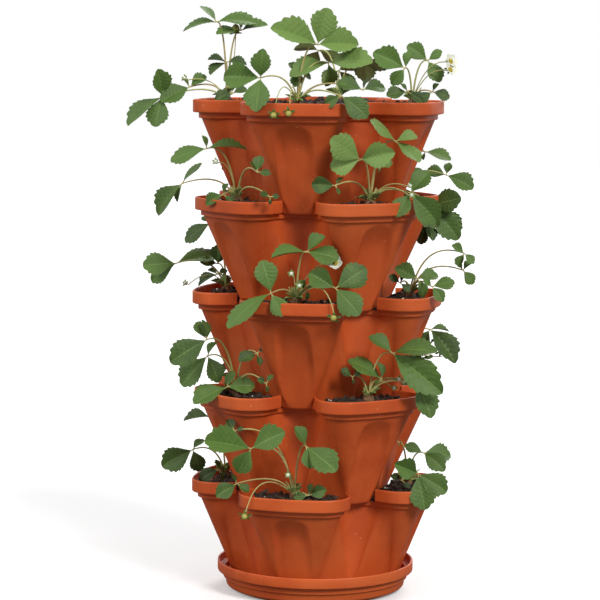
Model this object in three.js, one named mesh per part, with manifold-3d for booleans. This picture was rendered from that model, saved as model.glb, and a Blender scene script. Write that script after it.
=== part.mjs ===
// Vertical planter tower: five stacking four-lobed pots, each turned an eighth of a turn on the one
// below, standing in a round saucer. Every pocket holds potting soil and one strawberry plant.
// Millimetres, +Z up. The origin is the centre of the saucer's flat underside, and -Y is the front.
// Angles round the tower are measured from the front (-Y) towards the right (+X), in degrees.

import * as THREE from 'three';
import { mergeVertices } from 'three/addons/utils/BufferGeometryUtils.js';
import Module from 'manifold-3d';

const wasm = await Module();
wasm.setup();

// Stack
const TIERS = 5;
const LOBES = 4;
const TIER_TURN = 45;
const REST_GAP = 0.3;

// Pot: overall height, wall and floor
const POT_HEIGHT = 134;
const POT_WALL = 2.6;
const POT_FLOOR = 3;

// Pot wall at the base: how far a lobe reaches out, half its width, the radius of its corners, how far
// out the valley between two lobes lies, the radius of that valley, and the bow of the lobe's front
const BASE = { reach: 98, half: 18.5, corner: 7, valley: 79, hollow: 32, bow: 120 };

// Pot wall under the rim, with the same six sizes
const TOP = { reach: 141.8, half: 57.4, corner: 22.4, valley: 80, hollow: 33, bow: 190 };

// Facets of each corner and of each half valley
const CORNER_STEPS = 3;
const VALLEY_STEPS = 2;

// Rim: a tall outer band over a lower step band, each standing proud of what is under it
const RIM_BAND = 15.4;
const RIM_PROUD = 7.2;
const STEP_BAND = 7;
const STEP_PROUD = 3.4;

// Seat in the rim, where a lobe of the pot above drops between two lobes
const SEAT_HEIGHT = 116.7;
const SEAT_PLAY = 1;

// Arched flute down the front of each lobe, its arch a margin under the step band
const FLUTE_WIDTH = 46;
const FLUTE_MARGIN = 3.6;
const FLUTE_ARCH = 15;
const FLUTE_DEPTH = 7.5;
const ARCH_STEPS = 3;
const INNER_ARCH_STEPS = 2;

// Holes in the pot floor: one under each lobe and a larger one in the middle for a garden stake
const DRAIN_RADIUS = 4;
const DRAIN_REACH = 74;
const STAKE_RADIUS = 8;
const HOLE_SIDES = 6;

// Soil
const SOIL_GAP = 0.3;
const FLUTE_CLEAR = 1.3;

// Strawberry plants: how far outside the middle of its pocket a crown stands, and the sizes of crown, leaf stalk and leaf. A stalk bends
// over at a share of its way out, at a height above both its ends that is a share of that way too.
const CROWN_OFFSET = 5;
const CROWN_RADIUS = 7;
const CROWN_HEIGHT = 11;
const CROWN_SIDES = 5;
const STALK_RADIUS = 1.7;
const STALK_ARCH = 0.25;
const STALK_BEND = 0.22;
const STALK_STEPS = 3;
const LEAF_THICKNESS = 2.4;
const LEAF_MIDDLE = 0.2;
const LEAF_DROOP = 24;
const LEAFLET_SPREAD = 78;
const LEAFLET_FOLD = 0.14;

// Leaves of each plant, as [sideways, outwards, upwards, leaflet length]: the place of the three
// leaflets' meeting point, as seen by someone facing that pocket, sideways and outwards from the crown
// and upwards from the top of the rim
const LEAVES = {
  strawberry_1_front: [[-56, 43, 61, 38], [-22, 26, 75, 31], [26, 20, 58, 30]],
  strawberry_1_right: [[4, 22, 34, 34], [-14, 46, 11, 31], [14, 9, 25, 26]],
  strawberry_1_back: [[-30, 26, 39, 32], [22, 34, 27, 31]],
  strawberry_1_left: [[20, 43, 24, 31], [-16, 12, 31, 29]],
  strawberry_2_front_right: [[28, 30, 56, 34], [38, 40, 19, 32], [-27, 8, 27, 26]],
  strawberry_2_back_right: [[-29, 46, 55, 29], [14, 34, 29, 29]],
  strawberry_2_back_left: [[-24, 30, 45, 32], [26, 28, 23, 29]],
  strawberry_2_front_left: [[-21, 52, 57, 36], [19, 27, 17, 31], [-20, 18, 21, 26]],
  strawberry_3_front: [[-24, 38, 17, 41], [10, 12, 66, 31], [54, 20, 24, 34]],
  strawberry_3_right: [[-12, 24, 53, 29], [14, 52, 33, 26], [20, 8, 17, 26]],
  strawberry_3_back: [[-26, 30, 43, 34], [24, 22, 53, 31]],
  strawberry_3_left: [[20, 65, 32, 34], [-12, 22, 43, 29]],
  strawberry_4_front_right: [[-24, 16, 59, 32], [21, 22, 73, 29], [-44, 26, 27, 24]],
  strawberry_4_back_right: [[-24, 38, 25, 32], [10, 52, 9, 29], [20, 14, 45, 26]],
  strawberry_4_back_left: [[-22, 28, 37, 32], [28, 24, 49, 30]],
  strawberry_4_front_left: [[-28, 53, 61, 31], [-8, 60, 19, 36], [24, 14, 45, 24]],
  strawberry_5_front: [[23, 5, 71, 40], [59, -2, 45, 29], [-30, 22, 23, 31]],
  strawberry_5_right: [[-14, -12, 43, 34], [6, 22, 50, 31], [28, 20, 17, 26]],
  strawberry_5_back: [[-26, 16, 45, 34], [28, 6, 59, 31]],
  strawberry_5_left: [[28, 74, 2, 36], [6, 17, 95, 30], [30, -6, 29, 31]],
};
const POCKETS = ['front', 'right', 'back', 'left'];
const CORNER_POCKETS = ['front_right', 'back_right', 'back_left', 'front_left'];

// Saucer: its play round the bottom pot's foot, how far its rim clears the pot's wall, and the same two
// bands as the pots have round the rim. The wall bends out of the foot.
const SAUCER_PLAY = 3.6;
const SAUCER_CLEAR = 8;
const SAUCER_HEIGHT = 36;
const SAUCER_FLOOR = 3.2;
const SAUCER_WALL = 2.6;
const SAUCER_BAND = 12.8;
const SAUCER_PROUD = 7;
const SAUCER_STEP = 8.4;
const SAUCER_STEP_PROUD = 2.6;
const SAUCER_BEND = 4.9;
const SAUCER_LEAN = 1.5;
const SAUCER_SEGMENTS = 36;

const RIM_OFFSET = STEP_PROUD + RIM_PROUD;
const WALL_HEIGHT = POT_HEIGHT - RIM_BAND - STEP_BAND;
const STEP_TOP = POT_HEIGHT - RIM_BAND;
const FLUTE_TOP = WALL_HEIGHT - FLUTE_MARGIN;
const PITCH = SEAT_HEIGHT + REST_GAP;
const SOIL_LEVEL = PITCH - SOIL_GAP;
const CROWN_REACH = (TOP.reach + TOP.valley) / 2 + CROWN_OFFSET;
const RIM_OVER_SOIL = POT_HEIGHT - SOIL_LEVEL - REST_GAP;
const LENGTH_PAST = 5;

const degrees = THREE.MathUtils.degToRad;

// Solids for cutting and joining

function toSolid(geometry) {
  geometry.deleteAttribute('normal');
  geometry.deleteAttribute('uv');
  const merged = mergeVertices(geometry, 1e-4);
  const mesh = new wasm.Mesh({
    numProp: 3,
    vertProperties: new Float32Array(merged.attributes.position.array),
    triVerts: new Uint32Array(merged.index.array),
  });
  mesh.merge();
  return new wasm.Manifold(mesh);
}

function toGeometry(solid) {
  const mesh = solid.getMesh();
  const geometry = new THREE.BufferGeometry();
  geometry.setAttribute('position', new THREE.BufferAttribute(mesh.vertProperties, 3));
  geometry.setIndex(new THREE.BufferAttribute(mesh.triVerts, 1));
  geometry.computeVertexNormals();
  return geometry;
}

function cutAll(solid, cutters) {
  return cutters.reduce((left, cutter) => left.subtract(cutter), solid);
}

// Points on an arc, both ends included; a radius below zero turns the arc's points inside out
function arc(centre, radius, from, to, steps) {
  const points = [];
  for (let i = 0; i <= steps; i++) {
    const angle = from + (to - from) * i / steps;
    points.push(new THREE.Vector2(
      centre.x + radius * Math.cos(angle),
      centre.y + radius * Math.sin(angle),
    ));
  }
  return points;
}

// Sizes of an outline moved outwards by a distance
function grow(sizes, distance) {
  return {
    reach: sizes.reach + distance,
    half: sizes.half + distance,
    corner: sizes.corner + distance,
    valley: sizes.valley + distance,
    hollow: sizes.hollow - distance,
    bow: sizes.bow + distance,
  };
}

// The valley radius at which the straight flank between corner and valley has shrunk to nothing
function widestHollow(sizes, cornerCentre, diagonal) {
  const along = cornerCentre.dot(diagonal);
  const free = cornerCentre.lengthSq() - sizes.corner ** 2 + sizes.valley * (sizes.valley - 2 * along);
  const pinch = sizes.corner + along - sizes.valley;
  return pinch > 0 ? free / (2 * pinch) : Infinity;
}

// One lobe along +X, from the valley on its right to just before the valley on its left: a bowed front,
// round corners, straight flanks, and hollow valleys whose centres lie on the diagonals
function lobeOutline(sizes) {
  const bowCentre = new THREE.Vector2(sizes.reach - sizes.bow, 0);
  const cornerY = sizes.half - sizes.corner;
  const cornerCentre = new THREE.Vector2(
    bowCentre.x + Math.sqrt((sizes.bow - sizes.corner) ** 2 - cornerY ** 2),
    cornerY,
  );
  const diagonal = new THREE.Vector2(Math.SQRT1_2, Math.SQRT1_2);
  const hollow = Math.min(sizes.hollow, widestHollow(sizes, cornerCentre, diagonal));
  const valleyCentre = diagonal.clone().multiplyScalar(sizes.valley + hollow);
  const across = valleyCentre.clone().sub(cornerCentre);
  const frontAngle = Math.atan2(cornerY, cornerCentre.x - bowCentre.x);
  const flankAngle = across.angle() - Math.acos(Math.min(1, (sizes.corner + hollow) / across.length()));
  const half = [
    ...arc(cornerCentre, sizes.corner, frontAngle, flankAngle, CORNER_STEPS),
    ...arc(valleyCentre, -hollow, flankAngle, Math.PI / 4, VALLEY_STEPS),
  ];
  const mirrored = half.map((point) => new THREE.Vector2(point.x, -point.y)).reverse();
  return [...mirrored, new THREE.Vector2(sizes.reach, 0), ...half.slice(0, -1)];
}

// The whole four-lobed outline as a ring of points at one height
function ring(sizes, height) {
  const lobe = lobeOutline(sizes);
  const points = [];
  for (let k = 0; k < LOBES; k++) {
    const turn = k * 2 * Math.PI / LOBES;
    for (const point of lobe) {
      const turned = point.clone().rotateAround(new THREE.Vector2(), turn);
      points.push(new THREE.Vector3(turned.x, turned.y, height));
    }
  }
  return points;
}

// How far up the sloping wall a height lies, from 0 at the base to 1 under the rim and above
function slopeShare(height) {
  return Math.min(1, height / WALL_HEIGHT);
}

// The pot's wall at any height, moved outwards by a distance
function wallRing(height, distance) {
  const low = ring(grow(BASE, distance), height);
  const high = ring(grow(TOP, distance), height);
  return low.map((point, i) => point.lerp(high[i], slopeShare(height)));
}

// One size of the wall's outline at any height
function wallSize(name, height) {
  return THREE.MathUtils.lerp(BASE[name], TOP[name], slopeShare(height));
}

// A closed solid through rings of equal length, capped by fans at both ends
function loft(rings) {
  const count = rings[0].length;
  const positions = rings.flat().flatMap((point) => point.toArray());
  const index = [];
  for (let level = 0; level < rings.length - 1; level++) {
    for (let i = 0; i < count; i++) {
      const a = level * count + i;
      const b = level * count + (i + 1) % count;
      index.push(a, b, b + count, a, b + count, a + count);
    }
  }
  const bottom = positions.length / 3;
  const top = bottom + 1;
  const last = (rings.length - 1) * count;
  positions.push(0, 0, rings[0][0].z, 0, 0, rings.at(-1)[0].z);
  for (let i = 0; i < count; i++) {
    const next = (i + 1) % count;
    index.push(bottom, next, i, top, last + i, last + next);
  }
  const geometry = new THREE.BufferGeometry();
  geometry.setAttribute('position', new THREE.Float32BufferAttribute(positions, 3));
  geometry.setIndex(index);
  return toSolid(geometry);
}

// Pot

// The four flutes as cutters, grown on all sides by a distance. Each one is an arch drawn on a plane
// steeper than the wall, so that the flute is deepest at its arch and runs out at the pot's foot.
function flutes(distance, archSteps) {
  const inset = wallSize('reach', FLUTE_TOP) - FLUTE_DEPTH - BASE.reach;
  const slope = new THREE.Vector3(inset, 0, FLUTE_TOP).normalize();
  const length = Math.hypot(inset, FLUTE_TOP);
  const halfWidth = FLUTE_WIDTH / 2 + distance;
  const springing = length - FLUTE_ARCH;
  const arch = new THREE.Shape();
  arch.moveTo(halfWidth, -LENGTH_PAST);
  arch.lineTo(halfWidth, springing);
  arch.absellipse(0, springing, halfWidth, FLUTE_ARCH + distance, 0, Math.PI, false);
  arch.lineTo(-halfWidth, -LENGTH_PAST);
  const block = new THREE.ExtrudeGeometry(arch, {
    depth: FLUTE_WIDTH + distance,
    bevelEnabled: false,
    curveSegments: archSteps,
  });
  const sideways = new THREE.Vector3(0, 1, 0);
  const outwards = sideways.clone().cross(slope);
  const place = new THREE.Matrix4().makeBasis(sideways, slope, outwards);
  place.setPosition(BASE.reach - distance, 0, 0);
  block.applyMatrix4(place);
  return atEachLobe(toSolid(block));
}

// The pot's inside: a sloping well with the flutes standing into it, and a wider mouth above the ledge
// that the rim band makes
function inside() {
  const ledge = STEP_TOP + POT_WALL;
  const mouth = ring(grow(TOP, RIM_OFFSET - POT_WALL), ledge);
  const well = loft([
    wallRing(POT_FLOOR, -POT_WALL),
    wallRing(WALL_HEIGHT, -POT_WALL),
    ring(grow(TOP, -POT_WALL), ledge),
    mouth,
    mouth.map((point) => point.clone().setZ(POT_HEIGHT + LENGTH_PAST)),
  ]);
  return cutAll(well, flutes(POT_WALL, INNER_ARCH_STEPS));
}

// The seats: the plan of the pot above at the height of this pot's rim, with its play
function seats() {
  const plan = wallRing(POT_HEIGHT - SEAT_HEIGHT, SEAT_PLAY);
  const heights = [SEAT_HEIGHT, POT_HEIGHT + LENGTH_PAST];
  const block = loft(heights.map((height) => plan.map((point) => point.clone().setZ(height))));
  return block.rotate([0, 0, TIER_TURN]);
}

// The same cutter at every lobe
function atEachLobe(cutter) {
  return Array.from({ length: LOBES }, (_, k) => cutter.rotate([0, 0, k * 360 / LOBES]));
}

function drill(radius, reach) {
  const depth = POT_FLOOR + 2 * LENGTH_PAST;
  const hole = new THREE.CylinderGeometry(radius, radius, depth, HOLE_SIDES);
  hole.rotateX(Math.PI / 2);
  hole.translate(reach, 0, POT_FLOOR / 2);
  return toSolid(hole);
}

function makePot() {
  const outer = loft([
    wallRing(0, 0),
    wallRing(WALL_HEIGHT, 0),
    ring(grow(TOP, STEP_PROUD), WALL_HEIGHT),
    ring(grow(TOP, STEP_PROUD), STEP_TOP),
    ring(grow(TOP, RIM_OFFSET), STEP_TOP),
    ring(grow(TOP, RIM_OFFSET), POT_HEIGHT),
  ]);
  return cutAll(outer, [
    ...flutes(0, ARCH_STEPS),
    inside(),
    seats(),
    drill(STAKE_RADIUS, 0),
    ...atEachLobe(drill(DRAIN_RADIUS, DRAIN_REACH)),
  ]);
}

// Soil: fills the well, clear of the flutes, to just under the foot of the pot above
function makeSoil() {
  const off = -POT_WALL - SOIL_GAP;
  return loft([
    wallRing(POT_FLOOR + SOIL_GAP, off),
    wallRing(FLUTE_TOP + POT_WALL + SOIL_GAP, off - FLUTE_DEPTH - FLUTE_CLEAR),
    wallRing(SOIL_LEVEL, off),
  ]);
}

// Saucer: a dish turned from one closed profile, with the same two bands round its rim

function makeSaucer() {
  const foot = BASE.reach + SAUCER_PLAY - SAUCER_WALL;
  const radius = wallSize('reach', SAUCER_HEIGHT - SAUCER_FLOOR) + SAUCER_CLEAR + SAUCER_WALL;
  const stepRadius = radius - SAUCER_PROUD;
  const wallRadius = stepRadius - SAUCER_STEP_PROUD;
  const bandLow = SAUCER_HEIGHT - SAUCER_BAND;
  const stepLow = bandLow - SAUCER_STEP;
  const profile = [
    [0, 0],
    [foot, 0],
    [wallRadius - SAUCER_LEAN, SAUCER_BEND],
    [wallRadius, stepLow],
    [stepRadius, stepLow],
    [stepRadius, bandLow],
    [radius, bandLow],
    [radius, SAUCER_HEIGHT],
    [radius - SAUCER_WALL, SAUCER_HEIGHT],
    [radius - SAUCER_WALL, bandLow + SAUCER_WALL],
    [stepRadius - SAUCER_WALL, bandLow + SAUCER_WALL],
    [stepRadius - SAUCER_WALL, stepLow + SAUCER_WALL],
    [wallRadius - SAUCER_WALL, stepLow + SAUCER_WALL],
    [foot + SAUCER_WALL, SAUCER_FLOOR],
    [0, SAUCER_FLOOR],
  ].map(([x, y]) => new THREE.Vector2(x, y));
  const geometry = new THREE.LatheGeometry(profile, SAUCER_SEGMENTS);
  geometry.rotateX(Math.PI / 2);
  return toSolid(geometry);
}

// Strawberry plants, each modelled with its crown's foot at the origin and facing the front

// The stalk of one leaf: up out of the crown and over to the leaf
function makeStalk(start, end) {
  const rise = STALK_ARCH * Math.hypot(end.x - start.x, end.y - start.y);
  const bend = start.clone().lerp(end, STALK_BEND).setZ(Math.max(start.z, end.z) + rise);
  const section = new THREE.Shape(arc(new THREE.Vector2(), STALK_RADIUS, 0, 4 * Math.PI / 3, 2));
  const stalk = new THREE.ExtrudeGeometry(section, {
    extrudePath: new THREE.QuadraticBezierCurve3(start, bend, end),
    steps: STALK_STEPS,
    bevelEnabled: false,
  });
  return toSolid(stalk);
}

// Outline of one leaflet along +X, as fractions of its length
const LEAFLET = [[0.45, -0.33], [0.72, -0.38], [1, 0], [0.72, 0.38], [0.45, 0.33]];

// A leaf of three leaflets round the origin, the middle one along +X: thick at the middle, sharp at its
// edge, and folded up a little along each leaflet's midrib
function makeLeaf(length) {
  const middle = LEAF_MIDDLE * length;
  const positions = [middle, 0, LEAF_THICKNESS / 2, middle, 0, -LEAF_THICKNESS / 2];
  for (const turn of [-1, 0, 1]) {
    const angle = degrees(turn * LEAFLET_SPREAD);
    for (const [along, across] of LEAFLET) {
      const x = along * length * Math.cos(angle) - across * length * Math.sin(angle);
      const y = along * length * Math.sin(angle) + across * length * Math.cos(angle);
      positions.push(x, y, Math.abs(across) * length * LEAFLET_FOLD);
    }
  }
  positions.push(-STALK_RADIUS, 0, 0);
  const index = [];
  const rim = positions.length / 3 - 2;
  for (let i = 0; i < rim; i++) {
    const next = (i + 1) % rim;
    index.push(0, 2 + i, 2 + next, 1, 2 + next, 2 + i);
  }
  const leaf = new THREE.BufferGeometry();
  leaf.setAttribute('position', new THREE.Float32BufferAttribute(positions, 3));
  leaf.setIndex(index);
  return leaf;
}

function makePlant(leaves) {
  const crown = new THREE.CylinderGeometry(CROWN_RADIUS / 2, CROWN_RADIUS, CROWN_HEIGHT, CROWN_SIDES);
  crown.rotateX(Math.PI / 2);
  crown.translate(0, 0, CROWN_HEIGHT / 2);
  let plant = toSolid(crown);
  const root = new THREE.Vector3(0, 0, CROWN_HEIGHT / 2);
  for (const [side, out, up, length] of leaves) {
    const place = new THREE.Vector3(side, -out, RIM_OVER_SOIL + up);
    const leaf = makeLeaf(length);
    leaf.rotateY(degrees(LEAF_DROOP));
    leaf.rotateZ(Math.atan2(place.y, place.x));
    leaf.translate(place.x, place.y, place.z);
    plant = plant.add(makeStalk(root, place)).add(toSolid(leaf));
  }
  return plant;
}

// Assembly

const TERRACOTTA = { color: 0xb4552f, roughness: 0.55, metalness: 0 };
const SOIL = { color: 0x2b1d14, roughness: 1, metalness: 0 };
const LEAF_GREEN = { color: 0x4d7a3a, roughness: 0.6, metalness: 0 };

function piece(name, geometry, finish) {
  const mesh = new THREE.Mesh(geometry, new THREE.MeshStandardMaterial(finish));
  mesh.name = name;
  return mesh;
}

const tower = new THREE.Group();
tower.add(piece('saucer', toGeometry(makeSaucer()), TERRACOTTA));

const potShape = toGeometry(makePot());
const soilShape = toGeometry(makeSoil());

for (let tier = 1; tier <= TIERS; tier++) {
  const group = new THREE.Group();
  group.position.z = SAUCER_FLOOR + REST_GAP + (tier - 1) * PITCH;
  const turned = tier % 2 === 0;
  group.rotation.z = turned ? degrees(TIER_TURN) : 0;
  group.add(piece(`pot_${tier}`, potShape, TERRACOTTA));
  group.add(piece(`soil_${tier}`, soilShape, SOIL));
  const pockets = turned ? CORNER_POCKETS : POCKETS;
  pockets.forEach((pocket, k) => {
    const name = `strawberry_${tier}_${pocket}`;
    const plant = piece(name, toGeometry(makePlant(LEAVES[name])), LEAF_GREEN);
    const facing = k * 2 * Math.PI / LOBES;
    plant.rotation.z = facing;
    plant.position.set(Math.sin(facing), -Math.cos(facing), 0).multiplyScalar(CROWN_REACH);
    plant.position.z = SOIL_LEVEL + REST_GAP;
    group.add(plant);
  });
  tower.add(group);
}

export default tower;
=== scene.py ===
import math

import bpy
import numpy as np
from mathutils import Matrix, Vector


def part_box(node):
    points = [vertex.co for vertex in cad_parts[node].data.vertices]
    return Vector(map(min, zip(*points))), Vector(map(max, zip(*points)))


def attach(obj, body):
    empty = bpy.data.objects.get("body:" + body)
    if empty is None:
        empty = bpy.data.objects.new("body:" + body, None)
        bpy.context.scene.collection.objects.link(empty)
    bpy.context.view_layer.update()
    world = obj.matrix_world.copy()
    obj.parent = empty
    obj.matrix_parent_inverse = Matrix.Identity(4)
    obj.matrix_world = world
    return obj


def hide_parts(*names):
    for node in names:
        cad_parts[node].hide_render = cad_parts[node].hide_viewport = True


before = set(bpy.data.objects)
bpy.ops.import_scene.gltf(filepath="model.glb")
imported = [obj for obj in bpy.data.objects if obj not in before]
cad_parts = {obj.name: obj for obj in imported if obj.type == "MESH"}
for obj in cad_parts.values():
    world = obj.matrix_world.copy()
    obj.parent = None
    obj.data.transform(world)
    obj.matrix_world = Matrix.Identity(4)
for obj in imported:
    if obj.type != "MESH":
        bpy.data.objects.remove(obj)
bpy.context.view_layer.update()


# Drip saucer: a round dish of terracotta-coloured plastic, moulded in one shot, with the same two
# bands round its wall as the pots' rims. It stands loose on the ground and catches drained water.

SAUCER_PROFILE = [
    [70, 0, 0], [99, 0, 4], [110.4, 4.9, 4], [111.9, 14.8, 0.8], [114.5, 14.8, 0.9],
    [114.5, 23.2, 0.8], [121.5, 23.2, 1.2], [121.5, 36, 1.3], [118.9, 36, 1.2],
    [118.9, 25.8, 1.2], [111.9, 25.8, 1], [111.9, 17.4, 1], [109.3, 17.4, 1],
    [101.6, 3.2, 4], [70, 3.2, 0],
]
SAUCER_COLUMNS = 200


def rounded(corners, steps=3):
    """A profile through corners (x, z, r): at each one the straight sides stop r / tan(half the angle
    between them) short of it, and an arc of radius r joins them."""
    corners = np.asarray(corners, float)
    points = [corners[:1, :2]]
    for before, here, after in zip(corners[:-2], corners[1:-1], corners[2:]):
        a, b = before[:2] - here[:2], after[:2] - here[:2]
        reach = 0.48 * min(np.linalg.norm(a), np.linalg.norm(b))
        a, b = a / np.linalg.norm(a), b / np.linalg.norm(b)
        half = math.acos(np.clip(a @ b, -1, 1)) / 2
        back = min(here[2] / math.tan(half), reach)
        if back < 1e-6 or half > 1.565:
            points.append(here[None, :2])
            continue
        radius = back * math.tan(half)
        centre = here[:2] + (a + b) / np.linalg.norm(a + b) * radius / math.sin(half)
        start, end = here[:2] + a * back - centre, here[:2] + b * back - centre
        turn = math.pi - 2 * half
        k = np.linspace(0, 1, steps + 1)[:, None]
        points.append(centre + (np.sin((1 - k) * turn) * start + np.sin(k * turn) * end) / math.sin(turn))
    points.append(corners[-1:, :2])
    return np.concatenate(points)


def spaced(profile, step):
    """The profile with points added along each stretch, so that none is longer than the step."""
    lengths = np.linalg.norm(np.diff(profile, axis=0), axis=1)
    shares = [np.linspace(0, 1, max(1, math.ceil(x / step)), endpoint=False) for x in lengths]
    parts = [a + (b - a) * s[:, None] for a, b, s in zip(profile[:-1], profile[1:], shares)]
    return np.concatenate(parts + [profile[-1:]])


def closed_body(grid):
    """Points and triangles of a closed body from a grid of points (rows, columns, 3) whose columns run
    round it: two triangles between neighbours, and a fan from the mean of each end row."""
    rows, columns = grid.shape[:2]
    here = np.arange(rows * columns).reshape(rows, columns)
    beside = np.roll(here, -1, axis=1)
    sides = [
        np.stack([here[:-1], beside[:-1], beside[1:]], -1).reshape(-1, 3),
        np.stack([here[:-1], beside[1:], here[1:]], -1).reshape(-1, 3),
    ]
    first, last = np.full(columns, rows * columns), np.full(columns, rows * columns + 1)
    fans = [np.stack([first, beside[0], here[0]], -1), np.stack([last, here[-1], beside[-1]], -1)]
    points = np.concatenate([grid.reshape(-1, 3), grid[:1].mean(1), grid[-1:].mean(1)])
    triangles = np.concatenate(sides + fans)
    a, b, c = (points[triangles[:, i]] for i in range(3))
    if np.einsum("ij,ij->i", a, np.cross(b, c)).sum() < 0:
        triangles = triangles[:, ::-1]
    return points, triangles


def mesh_of(name, points, triangles, angle=40):
    """A smooth-shaded mesh in metres from points in millimetres, with edges sharper than the angle
    kept sharp."""
    mesh = bpy.data.meshes.new(name)
    mesh.vertices.add(len(points))
    mesh.vertices.foreach_set("co", (points * 0.001).astype(np.float32).ravel())
    mesh.loops.add(3 * len(triangles))
    mesh.loops.foreach_set("vertex_index", triangles.astype(np.int32).ravel())
    mesh.polygons.add(len(triangles))
    mesh.polygons.foreach_set("loop_start", np.arange(0, 3 * len(triangles), 3, dtype=np.int32))
    mesh.update(calc_edges=True)
    mesh.validate()
    mesh.shade_smooth()
    mesh.set_sharp_from_angle(angle=math.radians(angle))
    return mesh


def stand(mesh, body, materials, replaced=()):
    """Puts a finished mesh in the scene as a piece of the same name: its materials, the body it rides
    on, and the solids it stands for, which it hides."""
    piece = bpy.data.objects.new(mesh.name, mesh)
    bpy.context.scene.collection.objects.link(piece)
    for material in materials:
        mesh.materials.append(material)
    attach(piece, body)
    if replaced:
        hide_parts(*replaced)


def add(tree, kind, sockets=None, **settings):
    """Adds a shader node with its settings, and gives each socket, named or numbered, a value or a
    link."""
    made = tree.nodes.new(kind)
    for key, value in settings.items():
        setattr(made, key, value)
    for key, value in (sockets or {}).items():
        if isinstance(value, bpy.types.NodeSocket):
            tree.links.new(value, made.inputs[key])
        else:
            made.inputs[key].default_value = value
    return made


def new_material(name):
    """An empty node material with a Principled shader joined to its output."""
    material = bpy.data.materials.new(name)
    material.use_nodes = True
    tree = material.node_tree
    return material, tree, tree.nodes["Principled BSDF"]


def colour(r, g, b):
    """A colour written in the usual 0 to 255 numbers, as the shader's linear values."""
    c = np.array([r, g, b]) / 255
    linear = np.where(c <= 0.04045, c / 12.92, ((c + 0.055) / 1.055) ** 2.4)
    return (*linear, 1.0)


def noise(tree, place, scale, detail, roughness=0.5):
    """Cloudy noise over places."""
    sockets = {"Vector": place, "Scale": scale, "Detail": detail, "Roughness": roughness}
    return add(tree, "ShaderNodeTexNoise", sockets).outputs["Fac"]


def bumped(tree, height, strength, distance, under=None):
    """The directions that a face with bumps looks in, laid over another's if one is given."""
    made = add(tree, "ShaderNodeBump", {"Height": height, "Strength": strength, "Distance": distance})
    if under:
        tree.links.new(under, made.inputs["Normal"])
    return made.outputs["Normal"]


def dress(tree, shader, tone, roughness, bumps=None):
    """Gives a shader its colour, its roughness and its bumps."""
    for name, value in (("Base Color", tone), ("Roughness", roughness), ("Normal", bumps)):
        if isinstance(value, bpy.types.NodeSocket):
            tree.links.new(value, shader.inputs[name])
        elif value:
            shader.inputs[name].default_value = value


def reckoned(tree, operation, *values):
    """The outcome of one arithmetic step on links and numbers."""
    return add(tree, "ShaderNodeMath", dict(enumerate(values)), operation=operation).outputs[0]


def ramp(tree, factor, low, high, a, b):
    """A factor's stretch from low to high, spread smoothly from a to b."""
    made = add(tree, "ShaderNodeMapRange", {"Value": factor, "From Min": low, "From Max": high,
                                            "To Min": a, "To Max": b})
    made.interpolation_type = "SMOOTHSTEP"
    return made.outputs["Result"]


def mixed(tree, factor, a, b):
    """Two colours mixed by a factor."""
    return add(tree, "ShaderNodeMix", {0: factor, 6: a, 7: b}, data_type="RGBA").outputs[2]


def layered(tree, tone, *layers):
    """The tone with others laid over it: each shows up to its share, where its factor goes from low to
    high."""
    for factor, low, high, share, over in layers:
        tone = mixed(tree, ramp(tree, factor, low, high, 0, share), tone, over)
    return tone


def terracotta_plastic(name, deep, plain, bright):
    """Moulded plastic: three tones of the colour clouded into each other, faint dried runs down the
    wall, specks of dark soil, pale specks that are painted highlights standing in for glints on water
    drops, and a fine satin grain."""
    material, tree, shader = new_material(name)
    place = add(tree, "ShaderNodeTexCoord").outputs["Object"]
    cloud = noise(tree, place, 22, 5, 0.6)
    tall = add(tree, "ShaderNodeMapping", {"Vector": place, "Scale": (130, 130, 9)}).outputs["Vector"]
    tone = layered(tree, deep, (cloud, 0.35, 0.68, 1, plain),
                   (noise(tree, place, 7, 2), 0.45, 0.75, 0.75, bright),
                   (noise(tree, tall, 1, 3), 0.58, 0.78, 0.28, bright),
                   (noise(tree, place, 420, 1), 0.76, 0.82, 0.6, colour(60, 28, 18)),
                   # pale specks: painted highlights that stand in for glints on water drops
                   (noise(tree, place, 300, 0), 0.85, 0.89, 0.6, colour(236, 178, 140)))
    fine = bumped(tree, noise(tree, place, 1400, 2), 0.12, 0.0003)
    slow = bumped(tree, noise(tree, place, 45, 1), 0.12, 0.002, fine)
    dress(tree, shader, tone, ramp(tree, cloud, 0.3, 0.7, 0.5, 0.38), slow)
    shader.inputs["Specular IOR Level"].default_value = 0.24
    return material


def turned(profile, columns):
    """A body of revolution: each profile point (r, z) goes round as (r cos a, r sin a, z)."""
    a = np.linspace(0, 2 * np.pi, columns, endpoint=False)
    r, z = profile[:, :1], profile[:, 1:]
    return np.stack([r * np.cos(a), r * np.sin(a), z + 0 * a], -1)


terracotta = terracotta_plastic("terracotta_plastic", colour(190, 80, 36), colour(203, 91, 42),
                                colour(212, 104, 53))
saucer_grid = turned(spaced(rounded(SAUCER_PROFILE), 8), SAUCER_COLUMNS)
stand(mesh_of("drip_saucer", *closed_body(saucer_grid)), "base", [terracotta],
      ["saucer"])


# Pots: five alike, each a thin four-lobed shell of the same plastic that widens from a small foot to
# a banded rim. Every lobe has an arched flute in its front, and the rim is cut down in each valley to
# seat the foot of the pot above, turned by an eighth of a turn; the top pot's rim is whole.

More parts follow.
